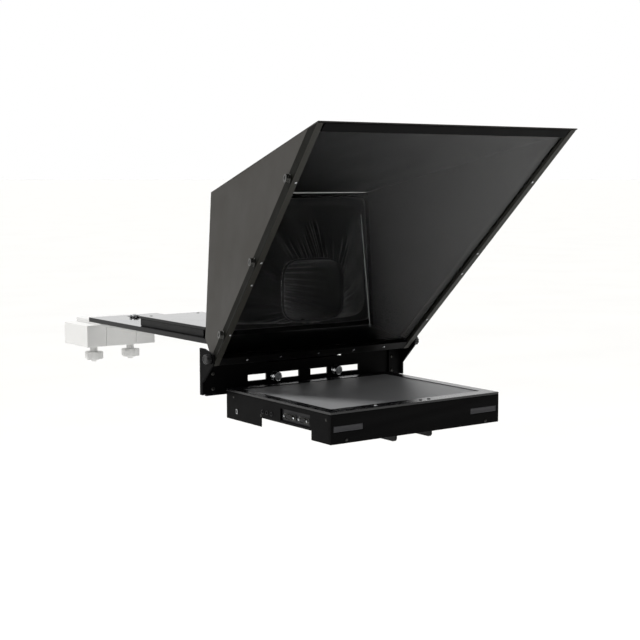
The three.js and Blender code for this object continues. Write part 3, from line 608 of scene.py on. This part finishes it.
def shroud_folds(t, a):
    """Height of the folds in millimetres, a sum of waves depth sin(n a + drift(a)) round the opening.

    Broad soft drapes run down the whole funnel, small gathers sit by the mouth and the sleeve.
    """
    drift = 1.3 * np.sin(2 * a + 0.6) + 0.9 * np.sin(5 * a + 2.1) + 0.5 * np.sin(11 * a)
    start = 0.36 + 0.1 * np.sin(3 * a + 1.0) + 0.05 * np.sin(8 * a + 0.4)
    gathers = ease((t - start) / 0.16) * (1 - ease((t - 0.56) / 0.04))
    drapes = ease((t - AT_FOOT) / 0.16) * (1 - ease((t - 0.5) / 0.1))
    sleeve = ease((t - 0.66) / 0.3)
    uneven = np.clip(0.5 + 0.6 * np.sin(3 * a + 4.0) * np.sin(5 * a + 1.2), 0.12, 1)
    low_side = 0.5 - 0.5 * np.sin(a)
    folds = drapes * (2.6 + 2.2 * low_side) * np.sin(8 * a + drift + 2.4 * t) * uneven
    folds = folds + drapes * low_side * 2.4 * np.sin(5 * a - 9 * t + 1.5 * np.sin(3 * a))
    small = 1.7 * np.sin(41 * a + 2 * drift) + 0.8 * np.sin(67 * a - drift + 9 * t)
    folds = folds + gathers * uneven * small
    return folds + sleeve * 1.5 * np.sin(30 * a + 0.6 * drift)


def cloth_map(points):
    """Where each point lies on the flat cloth: metres round the opening and metres down it."""
    round_it = np.concatenate([[0], np.cumsum(np.linalg.norm(np.diff(points[5], axis=0), axis=1))])
    down = np.concatenate([[0], np.cumsum(np.linalg.norm(np.diff(points, axis=0), axis=2).mean(1))])
    return np.stack(np.broadcast_arrays(round_it[None, :], down[:, None]), -1)


def lens_shroud():
    """Cloth funnel and sleeve, gathered at the lens opening and again at the sleeve's end.

    Point(t, a) = path(t, a) + folds(t, a) times the surface's outward direction.
    """
    columns, rows = 900, 60
    angle = np.linspace(0, 2 * math.pi, columns, endpoint=False)
    t = np.linspace(0, 1, rows)[:, None]
    path = shroud_path(t, angle)
    around = np.roll(path, -1, 1) - np.roll(path, 1, 1)
    out = np.cross(around, np.gradient(path, axis=0))
    out /= np.maximum(np.linalg.norm(out, axis=-1, keepdims=True), 1e-9)
    points = path + shroud_folds(t, angle[None, :])[..., None] * out
    limit = np.where(t <= AT_MOUTH, FLANGE_BACK, SLEEVE_END["y"])
    points[..., 1] = np.minimum(points[..., 1], limit)
    points = points * MM + FOOT
    faces = grid_faces(rows, columns, close_columns=True)
    mesh = mesh_of("shroud", points, faces, uv=cloth_map(points))
    piece = bring_in("lens_shroud_cloth", mesh, "hood", [SHROUD_CLOTH], "lens_shroud")
    wall = piece.modifiers.new("cloth", "SOLIDIFY")
    wall.thickness, wall.offset = 0.8 * MM, 0
    hem = shroud_hem("shroud_mouth_hem", mouth_loop(1.5, 2.6, angle), 2.2, 0.22, 64)
    cuff = shroud_hem("shroud_sleeve_cuff", sleeve_loop(angle), 2.6, 0.4, 60)


def shroud_hem(name, path, radius, ripple, count):
    """A rolled hem: a tube along a loop whose radius ripples where the elastic gathers it."""
    sides = 14
    ahead = np.roll(path, -1, 0) - np.roll(path, 1, 0)
    ahead /= np.linalg.norm(ahead, axis=1, keepdims=True)
    back = np.array([0.0, 1.0, 0.0])
    side = np.cross(ahead, back)
    turn = np.linspace(0, 2 * math.pi, sides, endpoint=False)[None, :]
    step = np.linspace(0, 2 * math.pi, len(path), endpoint=False)[:, None]
    r = radius + ripple * np.sin(count * step + 0.8 * np.sin(5 * step)) * (1 + 0.3 * np.sin(2 * turn))
    points = (path[:, None] + (r * np.cos(turn))[..., None] * side[:, None]
              + (r * np.sin(turn))[..., None] * back)
    length = np.concatenate([[0], np.cumsum(np.linalg.norm(np.diff(path, axis=0), axis=1))]) * MM
    uv = np.stack(np.broadcast_arrays(length[:, None], turn * radius * MM), -1)
    mesh = mesh_of(name, points * MM + FOOT, grid_faces(len(path), sides, True, True), uv=uv)
    tidy_mesh(mesh)
    return bring_in(name, mesh, "hood", [HEM_CLOTH])


def flange_strip():
    """Bright strip that clamps the shroud's flange along the rear frame's right side.

    Its section is the rounded box |x/w|^4 + |y/d|^4 = 1, carried down a line from (x, z) at its
    top to (x, z) at its foot.
    """
    half_wide, half_deep, set_back, sides = 1.1, 0.8, 64.2, 32
    top, bottom = (158, 267), (182, 41)
    a = np.arange(sides) * 2 * math.pi / sides
    c, s = np.cos(a), np.sin(a)
    r = (np.abs(c / half_wide) ** 4 + np.abs(s / half_deep) ** 4) ** (-1 / 4)
    loops = [hood_point(x + r * c, set_back + r * s, z) for x, z in (top, bottom)]
    mesh = loops_mesh("flange_strip", loops)
    bring_in("shroud_flange_strip", mesh, "hood", [NICKEL])
    keep_sharp(mesh, 40)


# ---- screws, knobs and buttons -----------------------------------------------------------
MONITOR_FRONT, MONITOR_TOP, MONITOR_HALF = -630, -52, 190


def from_base(x, y, z):
    """A place in millimetres, with heights from the base plate's underside, in the row frame."""
    return np.array([x, y, z]) * MM + np.array([0, 0, LIFT])


def from_monitor(x, behind, below):
    """A place in millimetres behind the monitor's front and below its top, in the row frame."""
    return from_base(x, MONITOR_FRONT + behind, MONITOR_TOP - below)


def fluted(count, depth, above):
    """Shallow flutes round the part of a turned piece wider than a radius, in millimetres."""
    def ripple(angle, height, radius):
        wave = 0.5 - 0.5 * np.cos(count * angle)
        return radius - np.where(radius > above * MM, depth * MM * wave ** 2, 0)
    return ripple


def lobed(count, share, above):
    """Lobes round the part of a knob wider than a radius: r (1 + share cos(count a))."""
    def ripple(angle, height, radius):
        return np.where(radius > above * MM, radius * (1 + share * np.cos(count * angle)), radius)
    return ripple


def six_sided(low, high):
    """A hexagon in place of the circle, on radii between two in millimetres."""
    def ripple(angle, height, radius):
        sixth = math.pi / 3
        flat = radius * math.cos(sixth / 2) / np.cos(np.mod(angle, sixth) - sixth / 2)
        return np.where((radius > low * MM) & (radius < high * MM), flat, radius)
    return ripple


def rounded_head(radius, seat, top, edge):
    """Steps round a plain head's two rims, a quarter circle each."""
    arc = np.linspace(0, math.pi / 2, 5)
    lower = [(radius - edge + edge * math.sin(q), seat + edge - edge * math.cos(q)) for q in arc]
    upper = [(radius - edge + edge * math.cos(q), top - edge + edge * math.sin(q)) for q in arc]
    return lower + upper


def thumb_screws():
    """Knurled thumb screws of the hood's rails and of the monitor's clamp."""
    steps = knurled_steps((2.5, -7), 1, 7.6, 9.2)
    for word, sign in SIDES:
        for number, along in enumerate((75, 262, 455), 1):
            y, z = from_foot(along, RAIL_WIDE / 2)
            node = f"hood_screw_{word}_{number}"
            turned(node + "_knurled", steps, hood_point(sign * half_width(y, z), y, z),
                   (sign, 0.23, 0.09), SCREW, node, node, 72,
                   knurl(1.8, 8.4, 30, 0.4))
        node = f"clamp_screw_{word}"
        turned(node + "_knurled", knurled_steps((4, -13.3), 2.2, 8.5, 13.8),
               from_base(sign * 72, -289, -40), (0, -1, 0), NICKEL, node, node, 80,
               knurl(3, 13, 32, 0.4))


def hand_knobs():
    """Fluted knobs on the hood's pivots, star knobs under the weights, and the riser's lock."""
    pivot_y, pivot_z = -326.533, 8.732
    for word, sign in SIDES:
        node = f"hinge_knob_{word}"
        steps = [(0, -8), (3.4, -8), (4, -7.4), (4, 8.3), (6, 8.3), *rounded_head(9, 8.3, 19.3, 1.6),
                 (5.5, 19.3), (5, 18.5), (0, 18.5)]
        turned(node + "_fluted", steps, from_base(sign * 230, pivot_y, pivot_z), (sign, 0, 0), ABS, node,
               node, 72, fluted(9, 1.1, 7))
        node = f"weight_knob_{word}"
        seat = -62.9
        low = seat - 16 - 19
        steps = [(0, low - 5), (5, low - 5), (6, low - 4), (8.5, low), (8.5, low + 0.1),
                 *rounded_head(20, low + 0.1, low + 19, 3), (9.5, low + 19), (9, low + 20),
                 (9, seat), (5, seat), (5, -5), (4.3, -4.3), (0, -4.3)]
        turned(node + "_star", steps, from_base(sign * 49, 520, 0), (0, 0, 1), ENAMEL, node,
               node, 100, lobed(5, 0.13, 11))
    steps = [(0, 0.3), (3, 0.3), (3, 5.3), *rounded_head(7, 5.3, 18, 1), (3, 18), (2.6, 17.4), (0, 17.4)]
    turned("plate_lock_knob_knurled", steps, from_base(79.3, 94, 18.8), (1, 0, 0), ABS,
           "plate_lock_knob", "plate_lock_knob", 72, knurl(6.5, 17, 28, 0.35))


def plain_screws():
    """Captive camera screw with its coin edge, and the carriage bolt with its hexagon socket."""
    steps = [(0, 16.8), (11, 16.8), *rounded_head(12, 16.8, 24.8, 0.8), (4.75, 24.8), (4.75, 30.8),
             (4, 31.6), (0, 31.6)]
    turned("camera_screw_coin_edged", steps, from_base(0, 20, 0), (0, 0, 1), NICKEL, "camera_screw",
           "camera_screw", 96, fluted(48, 0.4, 11.5))
    steps = [(0, -9.3), (5, -9.3), (5, 10.8), *rounded_head(12, 10.8, 16.5, 0.9), (5.6, 16.5),
             (5.6, 12.6), (0, 12.2)]
    turned("carriage_bolt_socket_head", steps, from_base(0, 403, 0), (0, 0, 1), NICKEL, "weights",
           "carriage_bolt", 96, six_sided(5.4, 5.8))


def buttons():
    """Three press buttons with softly domed caps."""
    for node, x in (("power_button", -84), ("menu_button", 16), ("input_button", 35)):
        dome = [(3 * math.cos(q), 0.5 + 0.6 * math.sin(q)) for q in np.linspace(0.2, 1.45, 6)]
        steps = [(0, -9), (4.4, -9), (4.4, -5.3), (3, -5.3), (3, 0.4), *dome, (0, 1.1)]
        plastic = PALE_PLASTIC if node == "power_button" else ABS
        turned(node + "_domed", steps, from_monitor(x, 14, 0), (0, 0, 1), plastic, node,
               node, 32)


def head_points(place, direction, radius, height):
    """A pan-head screw with a cross recess: dome h sqrt(1 - (r/R)^2 / 1.15) less crossed slots."""
    u, v, w = axes_for(direction)
    sides, arm = 40, 0.17
    a = np.arange(sides) * 2 * math.pi / sides
    share = np.array([1, 1, 0.97, 0.9, 0.8, 0.68, 0.56, 0.45, 0.34, 0.22, 0.1, 0.0])[:, None]
    rise = np.sqrt(1 - share ** 2 / 1.15)
    rise[0] = 0
    x, y = share * np.cos(a), share * np.sin(a)
    slots = ((np.abs(x) < arm) | (np.abs(y) < arm)) & (share < 0.6)
    top = height * (rise - np.where(slots, 0.55, 0))
    points = (np.asarray(place) + (x * radius * MM)[..., None] * u + (y * radius * MM)[..., None] * v
              + (top * MM)[..., None] * w)
    return points.reshape(-1, 3), grid_faces(len(share), sides, close_columns=True)


def screw_set(name, screws, body, material=SCREW):
    """One piece of several small screw heads, each (place, direction, radius, height)."""
    points, faces, count = [], [], 0
    for place, direction, radius, height in screws:
        head, corners = head_points(place, direction, radius, height)
        points.append(head)
        faces.append(corners + count)
        count += len(head)
    mesh = mesh_of(name, np.concatenate(points), np.concatenate(faces))
    tidy_mesh(mesh)
    bring_in(name, mesh, body, [material])
    keep_sharp(mesh, 40)


def small_screws():
    """Assembly screws of the monitor, of the hood's rails and of the bulkhead."""
    size = (2.6, 1.0)
    screws = [(from_monitor(x, 0, below), (0, -1, 0), *size) for x, below in ((-157, 49), (158, 50))]
    for sign in (-1, 1):
        for behind, below in ((13, 14), (209, 34), (300, 12)):
            screws.append((from_monitor(sign * MONITOR_HALF, behind, below), (sign, 0, 0), *size))
    for x in (-150, 0, 150):
        screws.append((from_monitor(x, 325, 14), (0, 1, 0), *size))
    screw_set("monitor_screws", screws, "monitor")
    slope_out = (0, -math.sin(SLOPE), -math.cos(SLOPE))
    screws = []
    for x in (2, 86, 161, -86, -161):
        y, z = from_foot(10, 0)
        screws.append((hood_point(x, y, z), slope_out, 2.4, 0.9))
    for sign in (-1, 1):
        for along in (85, 215, 270, 455):
            y, z = from_foot(along, 0)
            screws.append((hood_point(sign * (half_width(y, z) - 8.5), y, z), slope_out, 1.9, 0.7))
    screw_set("rail_screws", screws, "hood", NICKEL)
    screws = [(from_base(sign * x, -293.3, z), (0, -1, 0), 3.4, 1.6)
              for sign in (-1, 1) for x, z in ((212, -24), (212, -52))]
    screw_set("ear_screws", screws, "base")
    screws = [(from_base(x, y, 10.5), (0, 0, 1), 4.2, 2.2) for x in (-68, 68) for y in (-272, -230)]
    screw_set("spacer_screws", screws, "base")
    screws = [(from_base(x, y, 32.1), (0, 0, 1), 3.6, 0.8) for x in (-60, 60) for y in (-30, 214)]
    screw_set("camera_plate_screws", screws, "camera_slide")


# ---- sockets and inlays -------------------------------------------------------------------
def loops_mesh(name, loops):
    """A closed skin over a run of loops, with a point at each end."""
    first, last = loops[0].mean(0, keepdims=True), loops[-1].mean(0, keepdims=True)
    count = loops[0].shape[0]
    ends = [np.repeat(first, count, 0), *loops, np.repeat(last, count, 0)]
    mesh = mesh_of(name, np.stack(ends), grid_faces(len(ends), count, close_columns=True))
    tidy_mesh(mesh)
    return mesh


def side_loop(x, half_y, half_z, power, y, z, taper=0.0):
    """A rounded outline in (y, z) at one x: |y/a|^n + |z/b|^n = 1, narrower at its foot by a taper."""
    count = 56
    a = np.arange(count) * 2 * math.pi / count
    c, s = np.cos(a), np.sin(a)
    r = (np.abs(c / half_y) ** power + np.abs(s / half_z) ** power) ** (-1 / power)
    outline = [np.full(count, x), y + r * c * (1 + taper * r * s / half_z), z + r * s]
    return from_base(0, 0, 0) + np.stack(outline, -1) * MM


def sockets():
    """Two screened sockets on the left wall: a D-shaped shell, its insulator and two jack nuts."""
    x = -187.0
    for node, low, high, half in (("video_socket", 64, 96, 8.6), ("data_socket", 104, 140, 11.0)):
        y, z = MONITOR_FRONT + (low + high) / 2, MONITOR_TOP - 24.5
        plate = (high - low) / 2
        shape = [(x, plate, 5.4, 8, 0), (x - 0.9, plate, 5.4, 8, 0), (x - 1.1, plate - 0.4, 5.0, 8, 0),
                 (x - 1.1, half + 0.3, 4.3, 5, 0.12), (x - 4.6, half, 4.1, 5, 0.12),
                 (x - 5.0, half - 0.3, 3.8, 5, 0.12), (x - 4.8, half - 0.8, 3.4, 5, 0.12),
                 (x - 2.2, half - 0.9, 3.3, 5, 0.12)]
        mesh = loops_mesh(node, [side_loop(px, hy, hz, n, y, z, t) for px, hy, hz, n, t in shape])
        bring_in(node + "_shell", mesh, "monitor", [SCREW], node)
        keep_sharp(mesh, 40)
        shape = [(x - 2.3, half - 1.2, 3.0), (x - 4.2, half - 1.2, 3.0), (x - 4.4, half - 1.5, 2.7)]
        mesh = loops_mesh(node + "_core", [side_loop(px, hy, hz, 5, y, z, 0.12) for px, hy, hz in shape])
        bring_in(node + "_insulator", mesh, "monitor", [INSULATOR])
        for tag, sign in (("front", -1), ("rear", 1)):
            steps = [(0, 1.0), (2.3, 1.0), (2.3, 3.9), (1.9, 4.3), (1.1, 4.3), (1.1, 2.6), (0, 2.4)]
            turned(f"{node}_jack_nut_{tag}", steps, from_base(x, y + sign * (half + 3.1), z),
                   (-1, 0, 0), NICKEL, "monitor", None, 36, six_sided(1.5, 2.5))


def inlays():
    """Strips in the fascia's grooves, a security slot's liner and small round ports at the left."""
    low_edge, high_edge = MONITOR_TOP - 34.6, MONITOR_TOP - 24.4
    for word, sign in SIDES:
        lo, hi = sorted((sign * 122.4, sign * 183.6))
        x = np.array([lo, lo, hi, hi])
        rows = []
        for y, inset in ((-628.5, 0), (-629.4, 0), (-629.7, 0.4), (-629.7, 2.6), (-629.55, 3.0)):
            corner = np.array([1, 1, -1, -1]) * inset
            foot, head = low_edge + inset, high_edge - inset
            z = np.array([foot, head, head, foot])
            rows.append(from_base(0, 0, 0) + np.stack([x + corner, np.full(4, y), z], -1) * MM)
        mesh = loops_mesh(f"groove_strip_{word}", rows)
        bring_in(f"groove_strip_{word}", mesh, "monitor", [STRIP], smooth=False)
    y, z = MONITOR_FRONT + 289, MONITOR_TOP - 38
    shape = [(0, 2.4, 4.6), (1.0, 2.4, 4.6), (1.2, 2.1, 4.3), (1.1, 1.5, 3.6), (-0.5, 1.4, 3.5)]
    loops = [side_loop(-MONITOR_HALF - out, hy, hz, 6, y, z) for out, hy, hz in shape]
    mesh = loops_mesh("slot_liner", loops)
    bring_in("security_slot_liner", mesh, "monitor", [NICKEL])
    keep_sharp(mesh, 40)
    for number, along in enumerate((176, 190, 204), 1):
        steps = [(0, -0.5), (4, -0.5), (4, 0.9), (3.6, 1.2), (2.6, 1.2), (2.4, -0.2), (0, -0.3)]
        finish = ZINC if number == 3 else INSULATOR
        turned(f"round_port_{number}", steps, from_monitor(-MONITOR_HALF, along, 27), (-1, 0, 0),
               finish, "monitor", None, 40)


thumb_screws()
hand_knobs()
plain_screws()
buttons()
small_screws()
sockets()
inlays()


# ---- frame pieces with rounded edges ------------------------------------------------------
MILLED = {
    "tripod_plate": (0.8, ANODISED), "base_plate": (0.8, PLATE), "front_spacer": (0.6, POWDER),
    "bulkhead": (0.6, POWDER), "hinge_ear_left": (0.8, POWDER), "hinge_ear_right": (0.8, POWDER),
    "support_arm_left": (0.6, ANODISED), "support_arm_right": (0.6, ANODISED),
    "monitor_casing": (1.0, POWDER), "monitor_floor": (0.3, POWDER), "front_fascia": (1.0, POWDER),
    "top_bezel": (0.6, BEZEL), "glass_rail_left": (0.8, RAIL), "glass_rail_right": (0.8, RAIL),
    "glass_rail_bottom": (0.8, POWDER), "glass_rail_top": (0.8, POWDER), "rear_frame": (0.8, POWDER),
    "riser_rail_left": (0.6, ANODISED), "riser_rail_right": (0.6, ANODISED),
    "camera_plate": (0.8, PLATE), "plate_lock_block": (0.5, ANODISED), "weight_carriage": (0.8, ENAMEL),
    "counterweight_left": (1.6, ENAMEL), "counterweight_middle": (1.6, ENAMEL),
    "counterweight_right": (1.6, ENAMEL), "clamp_washer_left": (0.2, NICKEL),
    "clamp_washer_right": (0.2, NICKEL), "socket_panel": (0.2, ZINC),
}
for node, (edge, material) in MILLED.items():
    milled(node, edge * MM, material)


def paint_flank_shade():
    """Gives the outer faces of the two side rails the darker, duller copy of their finish: painted
    shade.
    """
    for word, sign in SIDES:
        mesh = bpy.data.objects[f"glass_rail_{word}_finished"].data
        mesh.materials.append(RAIL_PAINTED_SHADE)
        normals = np.zeros(len(mesh.polygons) * 3, np.float32)
        mesh.polygons.foreach_get("normal", normals)
        outer = normals.reshape(-1, 3)[:, 0] * sign > 0.7
        mesh.polygons.foreach_set("material_index", outer.astype(np.int32))


paint_flank_shade()
lens_shroud()
flange_strip()

# ---- every CAD node that stays gets its own finish ----------------------------------------
for node, thing in frame["nodes"].items():
    thing.data.materials.clear()
    thing.data.materials.append(NODE_FINISH[SLOT[node]])


# ---- floor --------------------------------------------------------------------------------
def floor():
    """Pale studio floor, a tripod's height below the object."""
    material, tree, shader, where = start("studio_floor_paint")
    clouds = grain(tree, where, 0.8, 2)
    tree.links.new(between(tree, clouds.outputs[0], "f4f4f3", "fafaf9"), shader.inputs["Base Color"])
    tree.links.new(spread(tree, clouds.outputs[0], 0.8, 0.9), shader.inputs["Roughness"])
    shader.inputs["Specular IOR Level"].default_value = 0.1
    far, rows, depth = 900.0, 9, 1.05
    line = np.linspace(-far, far, rows)
    x, y = np.meshgrid(line, line, indexing="ij")
    points = np.stack([x, y, np.full_like(x, -depth)], -1)
    mesh = mesh_of("floor", points, grid_faces(rows, rows)[:, ::-1])
    plane = bpy.data.objects.new("floor", mesh)
    mesh.materials.append(material)
    bpy.context.scene.collection.objects.link(plane)


floor()
